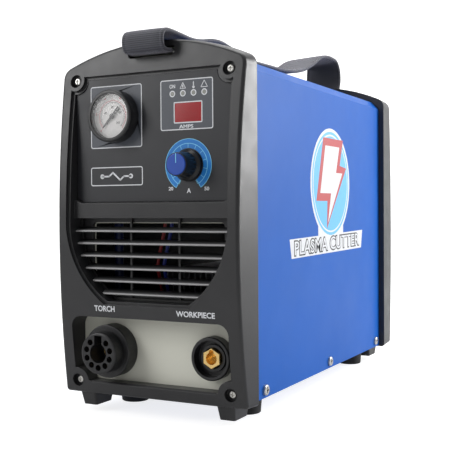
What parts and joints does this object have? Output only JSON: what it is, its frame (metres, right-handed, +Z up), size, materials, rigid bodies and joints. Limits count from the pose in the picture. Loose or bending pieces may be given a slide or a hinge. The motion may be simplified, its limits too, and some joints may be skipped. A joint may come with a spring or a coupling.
{
  "type": "plasma cutter unit",
  "caption": "Portable plasma cutter power unit: blue sheet cover, dark end bezels, pressure gauge, display and current knob over a grille, torch and work sockets, rear fan, webbing strap.",
  "frame": {"origin": "centre of the unit's footprint, on the surface the rubber feet stand on", "axes": "+Z up, -Y out of the front control panel, +X to the right seen from the front"},
  "size_m": [0.1684, 0.3852, 0.3301],
  "materials": {
    "bezel_moulding": "fine texture",
    "grille_moulding": "smooth matte",
    "fascia_paint": "fine powder coat",
    "panel_metal": "satin",
    "overlay_film": "fine texture film with printed graphics",
    "blue_paint": "fine powder coat",
    "zinc": "bright zinc plate",
    "black_plastic": "semi-gloss",
    "dark_plastic": "matte",
    "dial_print": "printed matte white",
    "needle_black": "matte",
    "clear": "polished",
    "brass": "turned",
    "red_window": "polished filter",
    "led_green": "diffused",
    "knob_blue": "satin",
    "steel": "plain",
    "rubber": "moulded",
    "webbing": "woven",
    "circuit_board": "solder mask",
    "aluminium": "extruded",
    "capacitor_sleeve": "shrink sleeve",
    "epoxy_black": "moulded",
    "ferrite": "sintered",
    "copper_tape": "insulating tape",
    "hose_blue": "satin",
    "lead_black": "satin",
    "lead_red": "satin",
    "lead_blue": "satin"
  },
  "bodies": {
    "case": {"front_bezel": "bezel_moulding", "front_grille": "grille_moulding", "front_plate": "fascia_paint", "control_panel": "panel_metal", "panel_overlay": "overlay_film", "bezel_screws": "zinc", "gauge_case": "black_plastic", "gauge_dial": "dial_print", "gauge_lens": "clear", "gauge_stem": "brass", "display_window": "red_window", "display_module": "epoxy_black", "indicator_leds": "led_green", "potentiometer": "steel", "torch_socket": "dark_plastic", "torch_socket_barrel": "dark_plastic", "torch_contacts": "brass", "torch_gas_tube": "brass", "socket_nuts": "steel", "work_socket_shell": "black_plastic", "work_socket_insert": "brass", "cover": "blue_paint", "base_pan": "blue_paint", "rubber_feet": "rubber", "foot_studs": "zinc", "rear_plate": "fascia_paint", "side_screws": "zinc", "rear_bezel": "bezel_moulding", "fan_frame": "black_plastic", "fan_guard": "steel", "fan_screws": "zinc", "power_switch": "black_plastic", "cable_gland": "black_plastic", "rear_nuts": "steel", "air_inlet": "brass", "regulator": "aluminium", "carry_strap": "webbing", "strap_bars": "steel", "power_board": "circuit_board", "board_posts": "brass", "heat_sinks": "aluminium", "power_transistors": "epoxy_black", "capacitors": "capacitor_sleeve", "transformer_core": "ferrite", "transformer_winding": "copper_tape", "output_choke": "ferrite", "control_board": "circuit_board", "valve_body": "brass", "valve_coil": "epoxy_black", "air_hoses": "hose_blue", "work_lead": "lead_black", "red_lead": "lead_red", "blue_lead": "lead_blue"},
    "current_knob": {"current_knob": "black_plastic", "knob_cap": "knob_blue", "potentiometer_shaft": "steel"},
    "gauge_needle": {"gauge_needle": "needle_black"},
    "fan_rotor": {"fan_rotor": "black_plastic"},
    "power_rocker": {"power_switch_rocker": "black_plastic"},
    "regulator_knob": {"regulator_knob": "black_plastic"}
  },
  "joints": [
    {"name": "current_knob_turn", "type": "hinge", "parent": "case", "child": "current_knob", "pos_m": [0.0329, -0.18, 0.1961], "axis": [0, 1, 0], "range_deg": [-150, 150]},
    {"name": "gauge_needle_turn", "type": "hinge", "parent": "case", "child": "gauge_needle", "pos_m": [-0.0316, -0.1805, 0.2358], "axis": [0, 1, 0], "range_deg": [0, 270], "stiffness_Nm_per_rad": 0.0005},
    {"name": "fan_spin", "type": "hinge", "parent": "case", "child": "fan_rotor", "pos_m": [0, 0.15, 0.101], "axis": [0, 1, 0], "continuous": true},
    {"name": "power_rocker_tilt", "type": "hinge", "parent": "case", "child": "power_rocker", "pos_m": [-0.036, 0.158, 0.226], "axis": [1, 0, 0], "range_deg": [0, 20]},
    {"name": "regulator_knob_turn", "type": "hinge", "parent": "case", "child": "regulator_knob", "pos_m": [-0.03, 0.178, 0.187], "axis": [0, 1, 0], "range_deg": [-360, 360]}
  ]
}
